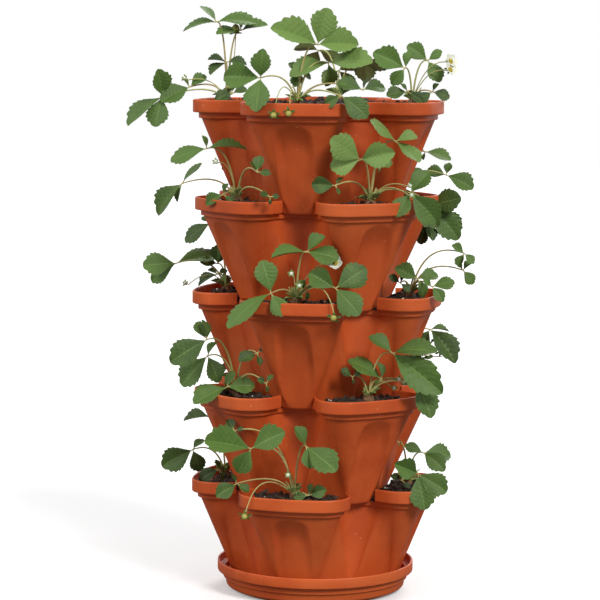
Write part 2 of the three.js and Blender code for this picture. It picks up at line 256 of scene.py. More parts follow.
POT_HEIGHT = 134
POT_WALL = 2.6
POT_FLOOR = 3
WALL_HEIGHT = 111.6
SEAT_HEIGHT = 116.7
FOOT = {"reach": 98, "half": 18.5, "corner": 7, "valley": 79, "hollow": 32, "bow": 120}
MOUTH = {"reach": 141.8, "half": 57.4, "corner": 22.4, "valley": 80, "hollow": 33, "bow": 190}
FLUTE_TOP = 108
FLUTE_ARCH = 15
FLUTE_HALF = 23
FLUTE_DEPTH = 10.5
FLUTE_SCOOP = 30
FLUTE_SIDE = 9
SEAT_PLAY = 1
STAKE_HOLE = 8
DRAIN_HOLE = 4
DRAIN_REACH = 74
STRETCH_STEPS = {"bow": 30, "corner": 12, "flank": 5, "valley": 13}
STEP_OUT = 3.4
RIM_OUT = 10.6
RIM_FOOT = 118.6
RIM_FLOOR = 121.2
OUTSIDE = [
    [-6, 0, 0], [0, 0, 2], [0, WALL_HEIGHT, 1.2], [STEP_OUT, WALL_HEIGHT, 0.9],
    [STEP_OUT, RIM_FOOT, 0.9], [RIM_OUT, RIM_FOOT, 1.2], [RIM_OUT, POT_HEIGHT, 1.5],
    [RIM_OUT - POT_WALL, POT_HEIGHT, 1.3], [RIM_OUT - POT_WALL, RIM_FLOOR, 1.2], [-POT_WALL, RIM_FLOOR, 1],
]
INSIDE = [[-POT_WALL, RIM_FLOOR, 1], [-POT_WALL, POT_FLOOR, 2], [-8, POT_FLOOR, 0]]
TIERS = 5


def half_lobe(reach, half, corner, valley, hollow, bow):
    """Half a lobe's outline and its outward normals, from the middle of the front to the bottom of the
    valley. Bow, corner and valley are arcs, centre + radius (cos a, sin a), and the flank is the
    straight line that touches the corner and the valley."""
    side = half - corner
    bow_at = np.array([reach - bow, 0])
    corner_at = np.array([bow_at[0] + math.sqrt((bow - corner) ** 2 - side ** 2), side])
    valley_at = np.full(2, (valley + hollow) / math.sqrt(2))
    across = valley_at - corner_at
    front = math.atan2(side, corner_at[0] - bow_at[0])
    flank = math.atan2(across[1], across[0]) - math.acos((corner + hollow) / np.linalg.norm(across))
    points, normals = [], []
    stretches = ((bow_at, bow, 0, front, "bow"), (corner_at, corner, front, flank, "corner"),
                 (None, 0, flank, flank, "flank"), (valley_at, -hollow, flank, math.pi / 4, "valley"))
    for centre, radius, a, b, name in stretches:
        n = STRETCH_STEPS[name]
        angle = np.linspace(a, b, n + 1)[: n + (name == "valley")]
        normal = np.stack([np.cos(angle), np.sin(angle)], -1)
        if centre is None:
            start, end = corner_at + corner * normal[0], valley_at - hollow * normal[0]
            points.append(start + (end - start) * np.linspace(0, 1, n, endpoint=False)[:, None])
        else:
            points.append(centre + radius * normal)
        normals.append(normal)
    return np.concatenate(points), np.concatenate(normals)


def lobe(sizes):
    """A whole lobe along +x, the half and its mirror image, with each shared point once."""
    points, normals = half_lobe(**sizes)
    flip = np.array([1, -1])
    return (np.concatenate([points[:0:-1] * flip, points[:-1]]),
            np.concatenate([normals[:0:-1] * flip, normals[:-1]]))


def smooth(x):
    """The smooth step 3x² - 2x³ of x held between 0 and 1."""
    x = np.clip(x, 0, 1)
    return x * x * (3 - 2 * x)


def wall(profile, fluted=True):
    """The pot's surface along a profile (d, z): a point stands d off the outline that lies s = z / wall
    height of the way from foot to mouth. Inside a flute it is drawn in to the flute's plane, by a
    quarter sine of the drop below the arch times one of the way in from the side, and the four lobes
    are quarter turns of one."""
    d, z = profile[:, :1, None], profile[:, 1:, None]
    s = np.minimum(1, z / WALL_HEIGHT)
    (low, low_normal), (high, high_normal) = lobe(FOOT), lobe(MOUTH)
    plan = (1 - s) * (low + d * low_normal) + s * (high + d * high_normal)
    if fluted:
        x, y, d, z = plan[..., 0], plan[..., 1], d[..., 0], z[..., 0]
        top_reach = FOOT["reach"] + (MOUTH["reach"] - FOOT["reach"]) * FLUTE_TOP / WALL_HEIGHT
        plane = FOOT["reach"] + (top_reach - FLUTE_DEPTH - FOOT["reach"]) * z / FLUTE_TOP
        grown = np.where(d < -1, POT_WALL, 0)
        across = np.clip(np.abs(y) / (FLUTE_HALF + grown), 0, 1)
        arch = FLUTE_TOP + grown - FLUTE_ARCH * (1 - np.sqrt(1 - across ** 2))
        below = np.clip((arch - z) / FLUTE_SCOOP, 0, 1)
        beside = np.clip((1 - across) * FLUTE_HALF / FLUTE_SIDE, 0, 1)
        share = np.sin(np.pi / 2 * below) * np.sin(np.pi / 2 * beside)
        plan[..., 0] = x + share * np.minimum(0, plane + d - x)
    turns = []
    for quarter in range(4):
        c, q = round(math.cos(quarter * math.pi / 2)), round(math.sin(quarter * math.pi / 2))
        turns.append(plan @ np.array([[c, q], [-q, c]]))
    plan = np.concatenate(turns, axis=1)
    height = np.broadcast_to(profile[:, 1:, None], plan[..., :1].shape)
    return np.concatenate([plan, height], -1)


def round_z(points, degrees):
    """Points turned about the upright axis."""
    a = math.radians(degrees)
    c, s = math.cos(a), math.sin(a)
    return points @ np.array([[c, s, 0], [-s, c, 0], [0, 0, 1]])


def carved(mesh, cutters):
    """The mesh with each cutting body taken out of it."""
    body = bpy.data.objects.new("carving", mesh)
    bpy.context.scene.collection.objects.link(body)
    tools = []
    for points, triangles in cutters:
        tool = bpy.data.objects.new("cutter", mesh_of("cutter", points, triangles))
        bpy.context.scene.collection.objects.link(tool)
        tools.append(tool)
        cut = body.modifiers.new("cut", "BOOLEAN")
        cut.object, cut.operation, cut.solver = tool, "DIFFERENCE", "MANIFOLD"
    cut_mesh = bpy.data.meshes.new_from_object(body.evaluated_get(bpy.context.evaluated_depsgraph_get()))
    cut_mesh.materials.clear()
    for used in (body, *tools):
        bpy.data.objects.remove(used)
    return cut_mesh


def coordinates(mesh):
    """A mesh's points in millimetres."""
    flat = np.empty(3 * len(mesh.vertices), np.float32)
    mesh.vertices.foreach_get("co", flat)
    return flat.reshape(-1, 3).astype(float) * 1000


def moved(mesh, name, degrees, lift):
    """A copy of a mesh, turned about the upright axis and lifted by millimetres."""
    copy = mesh.copy()
    copy.name = name
    points = round_z(coordinates(mesh), degrees) + np.array([0, 0, lift])
    copy.vertices.foreach_set("co", (points * 0.001).astype(np.float32).ravel())
    copy.update()
    return copy


def cylinder(radius, reach, low, high):
    """A short upright cylinder at a distance along x."""
    ring = turned(np.array([[radius, low], [radius, high]], float), 28)
    return closed_body(ring + np.array([reach, 0, 0]))


def tier_turn(tier):
    """Every second tier is turned by an eighth of a turn."""
    return 45 * (tier % 2 == 0)


outside = spaced(rounded(OUTSIDE), 2.3)
inside = spaced(rounded(INSIDE), 6)[1:]
shell = mesh_of("pot_shell", *closed_body(wall(np.concatenate([outside, inside]))), angle=50)
seat_plan = wall(np.array([[SEAT_PLAY, POT_HEIGHT - SEAT_HEIGHT]] * 2, float), fluted=False)
seat_plan[0, :, 2], seat_plan[1, :, 2] = SEAT_HEIGHT, POT_HEIGHT + 8
cutters = [closed_body(round_z(seat_plan, 45)), cylinder(STAKE_HOLE, 0, -5, 9)]
for quarter in range(4):
    points, triangles = cylinder(DRAIN_HOLE, DRAIN_REACH, -5, 9)
    cutters.append((round_z(points, 90 * quarter), triangles))
top_shell = carved(shell.copy(), cutters[1:])
shell = carved(shell, cutters)
pot_level = {}
for tier in range(1, TIERS + 1):
    pot_level[tier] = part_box(f"pot_{tier}")[0].z * 1000
    source = shell if tier < TIERS else top_shell
    copy = moved(source, f"pot_shell_{tier}", tier_turn(tier), pot_level[tier])
    copy.set_sharp_from_angle(angle=math.radians(50))
    stand(copy, f"tier_{tier}", [terracotta], [f"pot_{tier}"])
for used in (shell, top_shell):
    bpy.data.meshes.remove(used)


# Potting soil: a dark crumbly fill in each pot, level under the foot of the pot above and loosely
# heaped in the open pockets, with bark chips, clods and a few white perlite grains lying on it.

SOIL_LEVEL = 116.6
SOIL_HEAP = 15.5
LIP_SHARE = 0.25
LIP_SLOPE = 14
SOIL_OFF = -2.75
SOIL_EDGE = 116
SOIL_SIDE = [[SOIL_OFF, 104], [SOIL_OFF - 11, 88], [SOIL_OFF - 6, 3.4]]
SOIL_ROWS = 58
FOOT_CLEAR = 3
FOOT_SLOPE = 9
CRUMB_CLEAR = 14


def lattice_noise(points, cell, seed):
    """Smooth noise from -1 to 1: random values at the corners of square cells, blended by smooth steps
    along both sides."""
    values = np.random.default_rng(seed).uniform(-1, 1, (256, 256))
    at = points / cell + 100
    corner = np.floor(at).astype(int)
    fx, fy = smooth(at - corner).T
    i, j = corner[:, 0] % 255, corner[:, 1] % 255
    low = values[i, j] * (1 - fx) + values[i + 1, j] * fx
    high = values[i, j + 1] * (1 - fx) + values[i + 1, j + 1] * fx
    return low * (1 - fy) + high * fy


def soil_lip():
    """The outline of the wall's inside at the soil's upper edge."""
    return wall(np.array([[SOIL_OFF, SOIL_EDGE]]), fluted=False)[0]


def foot_above():
    """The outline of the foot of the pot above."""
    return round_z(wall(np.array([[0.0, 0.0]]), fluted=False)[0], 45)[:, :2]


def reach_of(ring, bearing):
    """How far out a closed outline lies at each bearing, read off between its points."""
    angle = np.arctan2(ring[:, 1], ring[:, 0])
    order = np.argsort(angle)
    return np.interp(bearing, angle[order], np.hypot(*ring.T)[order], period=2 * np.pi)


def soil_height(plan, crowned, seed):
    """Height of the soil's face: flat under the pot above, and outside its foot a heap that is lower
    towards the wall, with a slow, a middling and a quick noise."""
    reach, bearing = np.hypot(*plan.T), np.arctan2(plan[:, 1], plan[:, 0])
    beyond = reach - reach_of(foot_above(), bearing)
    inside = reach_of(soil_lip()[:, :2], bearing) - reach
    open_share = smooth((beyond - FOOT_CLEAR) / FOOT_SLOPE) if crowned else 1
    open_share = open_share * (LIP_SHARE + (1 - LIP_SHARE) * smooth(inside / LIP_SLOPE))
    rough = (0.8 + 0.18 * lattice_noise(plan, 17, seed) + 0.14 * lattice_noise(plan, 6, seed + 1)
             + 0.08 * lattice_noise(plan, 2.6, seed + 2))
    return SOIL_LEVEL + open_share * SOIL_HEAP * np.clip(rough, 0.05, 1.15)


def soil_body(crowned, seed):
    """The fill of one pot: its face runs from the middle to the wall as scaled outlines, and its side
    follows the wall's inside down to the floor."""
    share = np.linspace(0.015, 1, SOIL_ROWS)[:, None, None]
    face = soil_lip()[::2] * share
    face[..., 2] = soil_height(face[..., :2].reshape(-1, 2), crowned, seed).reshape(face.shape[:2])
    side = wall(np.array(SOIL_SIDE))[:, ::2]
    return closed_body(np.concatenate([face, side]))


def potting_soil():
    """Near-black brown crumbs: cells of several tones, with pale fibres and white grains here and
    there, rough all over."""
    material, tree, shader = new_material("potting_soil")
    place = add(tree, "ShaderNodeTexCoord").outputs["Object"]
    crumbs = add(tree, "ShaderNodeTexVoronoi", {"Vector": place, "Scale": 330, "Randomness": 1})
    grains = noise(tree, place, 160, 8, 0.7)
    tone = layered(tree, mixed(tree, grains, colour(15, 11, 8), colour(68, 49, 36)),
                   (crumbs.outputs["Color"], 0.55, 0.95, 0.7, colour(44, 31, 22)),
                   (noise(tree, place, 700, 1), 0.68, 0.74, 0.7, colour(150, 122, 92)))
    coarse = bumped(tree, crumbs.outputs["Distance"], 0.7, 0.002)
    dress(tree, shader, tone, 0.9, bumped(tree, grains, 0.6, 0.003, coarse))
    return material


def plain_crumb(name, first, second, scale):
    """Bark or perlite: two tones clouded into each other."""
    material, tree, shader = new_material(name)
    place = add(tree, "ShaderNodeTexCoord").outputs["Object"]
    dress(tree, shader, layered(tree, first, (noise(tree, place, scale, 4), 0.3, 0.7, 1, second)), 0.85)
    return material


# Each kind of crumb: how many in a pot, smallest and largest half-length (mm), and its proportions.
CRUMBS = {"clod": (150, (2.2, 4.6), (1, 0.8, 0.7)), "bark": (60, (3, 6.5), (1, 0.42, 0.2)),
          "perlite": (26, (1, 1.9), (1, 0.9, 0.8))}


def crumbs(crowned, seed):
    """Loose crumbs on the open face: each is a 20-sided solid with its corners pushed in and out at
    random, stretched, turned at random and set a third deep at a random open spot."""
    rng = np.random.default_rng(seed)
    g = (1 + math.sqrt(5)) / 2
    corners = np.array([[-1, g, 0], [1, g, 0], [-1, -g, 0], [1, -g, 0], [0, -1, g], [0, 1, g],
                        [0, -1, -g], [0, 1, -g], [g, 0, -1], [g, 0, 1], [-g, 0, -1], [-g, 0, 1]]) / 1.9
    faces = np.array([[0, 11, 5], [0, 5, 1], [0, 1, 7], [0, 7, 10], [0, 10, 11], [1, 5, 9], [5, 11, 4],
                      [11, 10, 2], [10, 7, 6], [7, 1, 8], [3, 9, 4], [3, 4, 2], [3, 2, 6], [3, 6, 8],
                      [3, 8, 9], [4, 9, 5], [2, 4, 11], [6, 2, 10], [8, 6, 7], [9, 8, 1]])
    lip, foot = soil_lip()[:, :2], foot_above()
    spots, sizes, kinds = [], [], []
    for kind, (count, (small, large), shape) in enumerate(CRUMBS.values()):
        bearing = rng.uniform(-np.pi, np.pi, 8 * count)
        reach = reach_of(lip, bearing) * np.sqrt(rng.uniform(0.1, 0.9, 8 * count))
        open_spot = reach > reach_of(foot, bearing) + CRUMB_CLEAR if crowned else reach > 0
        bearing, reach = bearing[open_spot][:count], reach[open_spot][:count]
        spots.append(np.stack([reach * np.cos(bearing), reach * np.sin(bearing)], -1))
        sizes.append(rng.uniform(small, large, (len(reach), 1)) * np.array(shape))
        kinds.append(np.full(20 * len(reach), kind))
    spots, sizes = np.concatenate(spots), np.concatenate(sizes)
    q = rng.normal(size=(len(spots), 4))
    w, x, y, z = (q / np.linalg.norm(q, axis=1)[:, None]).T
    turns = np.stack([1 - 2 * (y * y + z * z), 2 * (x * y - w * z), 2 * (x * z + w * y),
                      2 * (x * y + w * z), 1 - 2 * (x * x + z * z), 2 * (y * z - w * x),
                      2 * (x * z - w * y), 2 * (y * z + w * x), 1 - 2 * (x * x + y * y)], -1)
    solids = corners * rng.uniform(0.75, 1.2, (len(spots), 12, 1)) * sizes[:, None]
    height = soil_height(spots, crowned, seed) + 0.3 * sizes[:, 0]
    centres = np.concatenate([spots, height[:, None]], 1)
    points = np.einsum("nij,nkj->nki", turns.reshape(-1, 3, 3), solids) + centres[:, None]
    triangles = faces[None] + 12 * np.arange(len(spots))[:, None, None]
    return points.reshape(-1, 3), triangles.reshape(-1, 3), np.concatenate(kinds)


soil_material = potting_soil()
bark = plain_crumb("bark_chip", colour(44, 30, 22), colour(92, 64, 44), 240)
perlite = plain_crumb("perlite", colour(196, 190, 176), colour(228, 224, 212), 500)
for tier in range(1, TIERS + 1):
    points, triangles = soil_body(tier < TIERS, 40 * tier)
    points = round_z(points, tier_turn(tier)) + np.array([0, 0, pot_level[tier]])
    stand(mesh_of(f"soil_fill_{tier}", points, triangles, angle=180), f"tier_{tier}",
          [soil_material], [f"soil_{tier}"])
    points, triangles, kinds = crumbs(tier < TIERS, 40 * tier)
    points = round_z(points, tier_turn(tier)) + np.array([0, 0, pot_level[tier]])
    crumb_mesh = mesh_of(f"soil_crumbs_{tier}", points, triangles, angle=25)
    crumb_mesh.polygons.foreach_set("material_index", kinds.astype(np.int32))
    stand(crumb_mesh, f"tier_{tier}", [soil_material, bark, perlite])


# Strawberry plants: one in each pocket. Leaf stalks rise from a short scaly crown set in the soil,
# each to a leaf of three toothed leaflets, and thinner stalks carry flowers, buds and young fruit.

CROWN_REACH = 115.9
CROWN_HEIGHT = 11
CROWN_LEVEL = 125
POCKETS = {1: ("front", "right", "back", "left"),
           0: ("front_right", "back_right", "back_left", "front_left")}

# The camera, as fitted to the photograph: its place (mm), its focal length and the picture's width (px),
# and its heading, pitch and roll (degrees). The plants are seen from the bearing SEEN_FROM.
CAMERA_AT = np.array([664.1, -2950.2, 693.7])
FOCAL = 2466.5
PICTURE = 600
CAMERA_ANGLES = (-13.088, 6.311, 0.411)
SEEN_FROM = 13.1

# Enlarged parts of the photograph in which places were read: left and top edge (px), enlargement.
ENLARGED = {
    "whole": (0, 0, 1), "top left": (110, 0, 8.25), "top middle": (230, 20, 8.25),
    "top right": (250, 0, 8.25), "right of top": (330, 85, 13.07), "upper left": (110, 130, 8.25),
    "upper right": (340, 130, 11.2), "centre": (220, 230, 8.71), "lower left": (110, 300, 8.25),
    "lower right": (340, 270, 11.2), "foot left": (180, 400, 8.25), "foot right": (320, 400, 9.8),
}

# Leaves that the photograph shows, by the part that they were read in and whether the distance out of
# the crown or beside it is given. Each has its joint's place in that part, that distance (mm) and how
# light its green looks. That tint is partly the leaf's own green and partly painted light and shade:
# leaves that lie in shade get a darker green, lit ones a lighter green. Then, for each leaflet, it has its
# tip's place in the part, how far its face is turned from the onlooker to the sky, and how far it leans
# nearer (degrees).
SEEN_LEAVES = {
    "1_front": [("foot left", "out", [
        (590, 400, 34, 0.5, (212, 340, 30, 10), (858, 255, 34, 5), (478, 598, 5, 20)),
        (1040, 382, 18, 0.45, (960, 222, 48, 0), (1290, 550, 25, 15), (1085, 542, 10, 20)),
        (1060, 790, 8, 0.25, (1192, 728, 18, 15), (945, 800, 35, 15), (1090, 700, 50, 5)),
        (465, 690, 14, 0.25, (310, 772, 20, 20), (560, 740, 40, 20), (440, 620, 50, 5)),
        (450, 255, 10, 0.1, (400, 165, 25, 0), (350, 240, 45, 5), (520, 230, 50, 5)),
    ])],
    "1_right": [("foot right", "beside", [
        (960, 722, -50, 0.4, (750, 590, 14, 8), (1232, 890, 15, 15), (1040, 1050, 8, 20)),
        (1010, 520, -4, 0.4, (840, 450, 48, 0), (1280, 560, 40, 5), (1200, 640, 30, 15)),
        (800, 790, -26, 0.08, (700, 740, 35, 10), (870, 850, 40, 20), (790, 700, 50, 5)),
        (770, 420, -16, 0.4, (750, 370, 30, 5), (800, 410, 50, 5), (780, 450, 50, 10)),
    ])],
    "1_left": [("lower left", "beside", [
        (680, 1232, 18, 0.3, (440, 1345, 12, 15), (745, 1405, 15, 20), (760, 1150, 50, 0)),
        (900, 1400, 12, 0.1, (740, 1472, 38, 20), (960, 1480, 40, 25), (880, 1320, 55, 0)),
        (825, 960, -10, 0.2, (600, 965, 66, 0), (900, 900, 50, 0), (880, 1020, 50, 10)),
    ])],
    "2_front_right": [("lower right", "out", [
        (590, 930, 26, 0.4, (362, 720, 55, 0), (1000, 768, 68, 0), (1060, 1290, 12, 20)),
        (465, 1225, 12, 0.45, (170, 955, 55, 0), (440, 1040, 60, 0), (400, 1270, 60, 20)),
        (850, 1290, 36, 0.4, (1040, 1560, 35, 20), (790, 1040, 20, 10), (1010, 1180, 30, 15)),
        (140, 1200, 0, 0.05, (30, 1110, 45, 5), (230, 1130, 45, 5), (160, 1270, 50, 20)),
    ])],
    "2_back_right": [("lower right", "beside", [
        (1010, 660, -10, 0.3, (1210, 625, 72, 0), (1290, 910, 35, 15), (905, 860, 30, 20)),
        (930, 1000, -18, 0.45, (1035, 1130, 25, 20), (850, 930, 35, 5), (1030, 960, 45, 5)),
        (1010, 830, -10, 0.1, (940, 740, 50, 0), (960, 900, 50, 20), (1050, 780, 60, 0)),
    ])],
    "2_front_left": [("lower left", "out", [
        (800, 325, 40, 0.3, (518, 478, 18, 15), (790, 165, 60, 0), (725, 182, 20, -10)),
        (805, 460, 34, 0.35, (585, 690, 35, 20), (905, 655, 30, 20), (870, 345, 55, 0)),
        (965, 720, 18, 0.5, (705, 830, 48, 20), (1182, 690, 28, 15), (1000, 590, 40, 5)),
        (1215, 440, 0, 0.12, (1085, 470, 45, 10), (1240, 530, 50, 20), (1290, 400, 60, 0)),
        (1290, 690, 4, 0.1, (1230, 650, 40, 10), (1340, 620, 50, 0), (1300, 750, 50, 20)),
    ])],
    "3_front": [("upper left", "out", [
        (1325, 1345, 34, 0.6, (1275, 1080, 20, 5), (939, 1490, 66, 12), (1425, 1515, 8, 20)),
    ]), ("centre", "out", [
        (755, 195, 14, 0.45, (460, 215, 68, 0), (1020, 205, 45, 5), (900, 55, 48, -25)),
        (1005, 505, 22, 0.35, (785, 370, 8, 5), (1270, 335, 10, 5), (1190, 690, 12, 15)),
        (740, 520, 2, 0.6, (700, 440, 50, 5), (800, 470, 50, 5), (770, 600, 40, 20)),
    ])],
    "3_right": [("whole", "beside", [
        (418, 279, -24, 0.45, (397, 267, 30, 5), (437, 272, 40, 5), (426, 296, 35, 20)),
    ]), ("lower right", "beside", [
        (1030, 190, -38, 0.45, (1270, 120, 45, 5), (1155, 310, 25, 20), (940, 110, 35, 5)),
    ]), ("upper right", "beside", [
        (1390, 1385, -2, 0.5, (1262, 1290, 38, 5), (1485, 1460, 35, 15), (1320, 1500, 48, 20)),
    ]), ("whole", "beside", [
        (463, 270, 2, 0.6, (474, 283, 20, 20), (456, 262, 50, 0), (471, 262, 50, 5)),
        (400, 283, -26, 0.15, (390, 276, 40, 0), (409, 290, 40, 20), (404, 272, 60, 0)),
    ])],
    "3_left": [("upper left", "beside", [
        (545, 1100, 18, 0.5, (285, 1115, 22, 10), (885, 1000, 66, 0), (330, 1228, 35, 20)),
        (885, 1100, -2, 0.3, (880, 945, 30, 0), (770, 1060, 50, 5), (930, 1020, 40, 0)),
        (890, 1190, 8, 0.08, (715, 1262, 58, 15), (810, 1150, 50, 5), (960, 1150, 40, 5)),
        (830, 770, -10, 0.3, (610, 910, 52, 10), (760, 715, 45, 0), (900, 730, 40, 0)),
    ])],
    "4_front_right": [("whole", "out", [
        (410, 193, 36, 0.45, (438, 220, 12, 5), (396, 213, 20, 5), (426, 170, 25, 5)),
    ]), ("right of top", "out", [
        (400, 980, 22, 0.9, (38, 705, 12, 8), (765, 870, 12, 8), (25, 1085, 8, 15)),
        (850, 740, 22, 0.8, (550, 465, 72, 0), (1130, 680, 50, 10), (1170, 960, 58, 15)),
    ]), ("top middle", "out", [
        (872, 1365, 8, 0.3, (678, 1352, 5, 10), (930, 1300, 60, 0), (900, 1430, 60, 15)),
    ]), ("right of top", "out", [
        (640, 1040, 12, 0.7, (795, 1000, 30, 10), (560, 960, 60, 0), (640, 1120, 70, 20)),
    ])],
    "4_back_right": [("whole", "beside", [
        (430, 206, -30, 0.36, (459, 236, 15, 20), (412, 232, 25, 20), (458, 196, 20, 5)),
    ]), ("upper right", "beside", [
        (1190, 500, 4, 0.45, (985, 440, 28, 5), (1215, 368, 25, 5), (1475, 650, 35, 10)),
        (805, 700, -30, 0.35, (880, 430, 8, 5), (715, 945, 22, 20), (1065, 1025, 8, 20)),
        (1080, 880, -22, 0.45, (1310, 700, 8, 10), (1320, 1120, 10, 20), (840, 1090, 15, 25)),
        (960, 1050, -30, 0.15, (900, 1270, 20, 20), (830, 1120, 40, 20), (1040, 1190, 40, 20)),
        (955, 240, -26, 0.55, (1235, 262, 52, 0), (860, 200, 50, 0), (930, 320, 50, 0)),
    ])],
    "4_front_left": [("upper left", "out", [
        (800, 155, 34, 0.6, (500, 228, 52, 10), (1110, 85, 70, 0), (780, 55, 60, -10)),
        (595, 440, 44, 0.4, (360, 665, 48, 10), (730, 262, 76, 0), (540, 575, 60, 15)),
        (1215, 350, 10, 0.3, (1240, 222, 20, 5), (1310, 345, 45, 10), (1170, 260, 50, 0)),
        (935, 530, 24, 0.3, (795, 592, 35, 20), (1010, 600, 45, 25), (965, 448, 60, 0)),
        (1320, 550, 4, 0.15, (1250, 520, 30, 10), (1385, 540, 35, 10), (1320, 600, 40, 20)),
    ])],
    "5_front": [("top left", "out", [
        (1245, 640, 22, 0.5, (1265, 432, 8, 5), (940, 625, 18, 10), (1215, 885, 15, 15)),
    ]), ("top right", "out", [
        (558, 372, 4, 0.78, (232, 188, 32, 5), (640, 80, 3, 5), (862, 342, 30, 10)),
        (650, 520, -6, 0.72, (331, 605, 48, 12), (969, 450, 46, 12), (652, 712, 40, 15)),
        (750, 792, 28, 0.35, (618, 862, 22, 20), (965, 915, 20, 25), (740, 690, 60, -10)),
        (930, 742, 6, 0.3, (725, 680, 42, 0), (1118, 700, 38, 0), (960, 650, 65, -10)),
        (420, 600, -14, 0.45, (330, 520, 40, 0), (500, 640, 50, 10), (370, 700, 30, 20)),
    ])],
    "5_right": [("top right", "beside", [
        (1275, 565, -18, 0.5, (1035, 432, 20, 5), (1180, 690, 10, 15), (1345, 430, 50, 0)),
        (1470, 500, 4, 0.6, (1310, 370, 18, 5), (1568, 640, 25, 15), (1560, 420, 45, 0)),
        (1300, 760, -24, 0.2, (1130, 780, 40, 10), (1420, 830, 30, 20), (1260, 700, 60, 0)),
        (1500, 760, -8, 0.15, (1380, 830, 30, 20), (1640, 800, 30, 20), (1540, 700, 50, 0)),
    ])],
    "5_left": [("top left", "beside", [
        (430, 800, 24, 0.42, (405, 585, 25, 10), (140, 1025, 55, 0), (375, 1030, 15, 20)),
        (660, 715, 10, 0.4, (785, 630, 40, 0), (440, 800, 35, 10), (610, 640, 70, 0)),
        (880, 180, 6, 0.5, (595, 190, 68, 0), (765, 40, 62, 0), (1195, 110, 62, 0)),
        (1085, 250, -6, 0.5, (1295, 180, 58, 0), (890, 275, 58, 0), (1060, 160, 75, -20)),
        (960, 510, 0, 0.15, (825, 470, 70, 0), (830, 600, 60, 10), (1110, 500, 55, 10)),
        (1010, 770, 10, 0.2, (885, 800, 35, 20), (1125, 735, 40, 10), (1000, 690, 50, 0)),
    ])],
}

# Leaves that it hides: the joint beside, out from and above the crown and the rim's top, the middle
# leaflet's length (mm), the bearing that it points to, its tilt down and its roll (degrees), the green.
HIDDEN_LEAVES = {
    "1_back": [(-30, 26, 39, 35, 190, 40, 0, 0.5), (22, 34, 27, 33, 170, 45, 10, 0.6),
               (4, 6, 50, 28, 200, 30, 60, 0.4)],
    "2_back_left": [(-24, 30, 45, 35, 230, 40, 0, 0.5), (26, 28, 23, 31, 240, 45, 20, 0.5),
                    (0, 4, 50, 28, 200, 30, 60, 0.4)],
    "3_back": [(-26, 30, 43, 35, 180, 40, 0, 0.5), (24, 22, 53, 33, 190, 40, 30, 0.6),
               (0, 6, 30, 28, 170, 45, -30, 0.4)],
    "4_back_left": [(-22, 28, 37, 35, 220, 40, 0, 0.5), (28, 24, 49, 33, 240, 40, 20, 0.5),
                    (0, 4, 24, 28, 200, 45, -30, 0.4)],
    "5_back": [(-26, 16, 45, 37, 180, 40, 0, 0.6), (28, 6, 59, 35, 190, 40, 30, 0.6),
               (2, 4, 34, 29, 170, 45, -30, 0.5)],
}

# Flowers, buds and young fruit: kind, then the part, the place in it and the distance that is given, or,
# where they were given directly, beside, out and up in mm.
BLOOMS = {
    "1_front": [("bud", "foot left", 890, 622, "out", 20), ("calyx", -51, 38, -20)],
    "2_front_right": [("bud", "lower right", 650, 1230, "out", 6), ("bud", 44, 9, 14),
                      ("bud", "lower right", 600, 1330, "out", 8)],
    "2_back_right": [("flower", "lower right", 930, 935, "beside", -24),
                     ("calyx", "lower right", 1110, 905, "beside", -16),
                     ("bud", "lower right", 1150, 965, "beside", -14)],
    "2_back_left": [("flower", 14, 20, 40)],
    "3_front": [("flower", "centre", 1005, 295, "out", 10), ("bud", "centre", 622, 385, "out", 14),
                ("bud", "centre", 695, 490, "out", 14), ("calyx", 55, 38, -13)],
    "3_left": [("bud", "upper left", 635, 1272, "beside", 16)],
    "4_front_right": [("bud", "whole", 409, 187, "out", 38), ("bud", "whole", 411, 196, "out", 40)],
    "4_back_left": [("calyx", -6, 36, -8)],
    "4_front_left": [("bud", "upper left", 880, 265, "out", 30)],
    "5_front": [("calyx", -19, 36, -12), ("calyx", -1, 36, -10)],
    "5_right": [("flower", "whole", 450, 62, "beside", -8), ("flower", -16, 48, 38)],
    "5_left": [("berry", -6, -9, 80), ("bud", "top left", 630, 655, "beside", 12)],
}

# Materials of a plant's bodies, in the order of plant_materials
LEAF, STALK, PETAL, EYE, FRUIT, CROWN = range(6)

# Reach and lean of the five sepals of each kind of bloom
SEPALS = {"flower": (6.5, -0.1), "bud": (6.5, 1.3), "calyx": (8.5, 0.25), "berry": (8, 0.1)}

# The turned body in the middle of each kind: its profile (radius and height), sides, ribs and their
# depth, its material and its tint
HEARTS = {
    "flower": ([[0.6, 0.5], [3, 1.2], [3.3, 2.2], [2.2, 3.4], [0.6, 3.9]], 16, 8, 0.06, EYE, 0.5),
    "bud": ([[0.8, 0], [2.2, 1.2], [2.5, 2.8], [1.7, 4.4], [0.4, 5.2]], 12, 0, 0, PETAL, 0.5),
    "calyx": ([[1, 0.2], [3.2, 1.2], [3.7, 3], [3.2, 5.2], [0.8, 7.4]], 16, 0, 0, FRUIT, 0.1),
    "berry": ([[1, 0.4], [4.4, 1.6], [5.4, 4.4], [4.9, 7.6], [3, 10.4], [0.8, 12]], 18, 0, 0, FRUIT, 0.0),
}
CROWN_PROFILE = [[6.5, -4], [7.5, 1], [7, 5], [5.6, 9], [3.4, 12], [1.2, 13.5]]

# A leaflet's teeth on each side, and how its side veins slant and where the first one lies; how far its
# lean is loosened at random (degrees), and the length (mm) past which it gets narrower for its length
TEETH = 8
VEIN_SLANT = 0.34
VEIN_SHIFT = 0.9
LOOSE_LEAN = 26
FULL_LENGTH = 42


def unit(vector):
    """A vector of length 1."""
    return vector / np.linalg.norm(vector)


def upward(height):
    """A step straight up."""
    return np.array([0, 0, height])


def directions(bearing):
    """The level directions beside and towards an onlooker at a bearing: (cos, sin) and (sin, -cos)."""
    c, s = math.cos(bearing), math.sin(bearing)
    return np.array([c, s, 0]), np.array([s, -c, 0])


def placed(pocket, side, out, up):
    """The point that lies so far beside, out from and above the crown and the rim's top."""
    sideways, outward, rim = pocket
    return (CROWN_REACH + out) * outward + side * sideways + upward(rim + up)


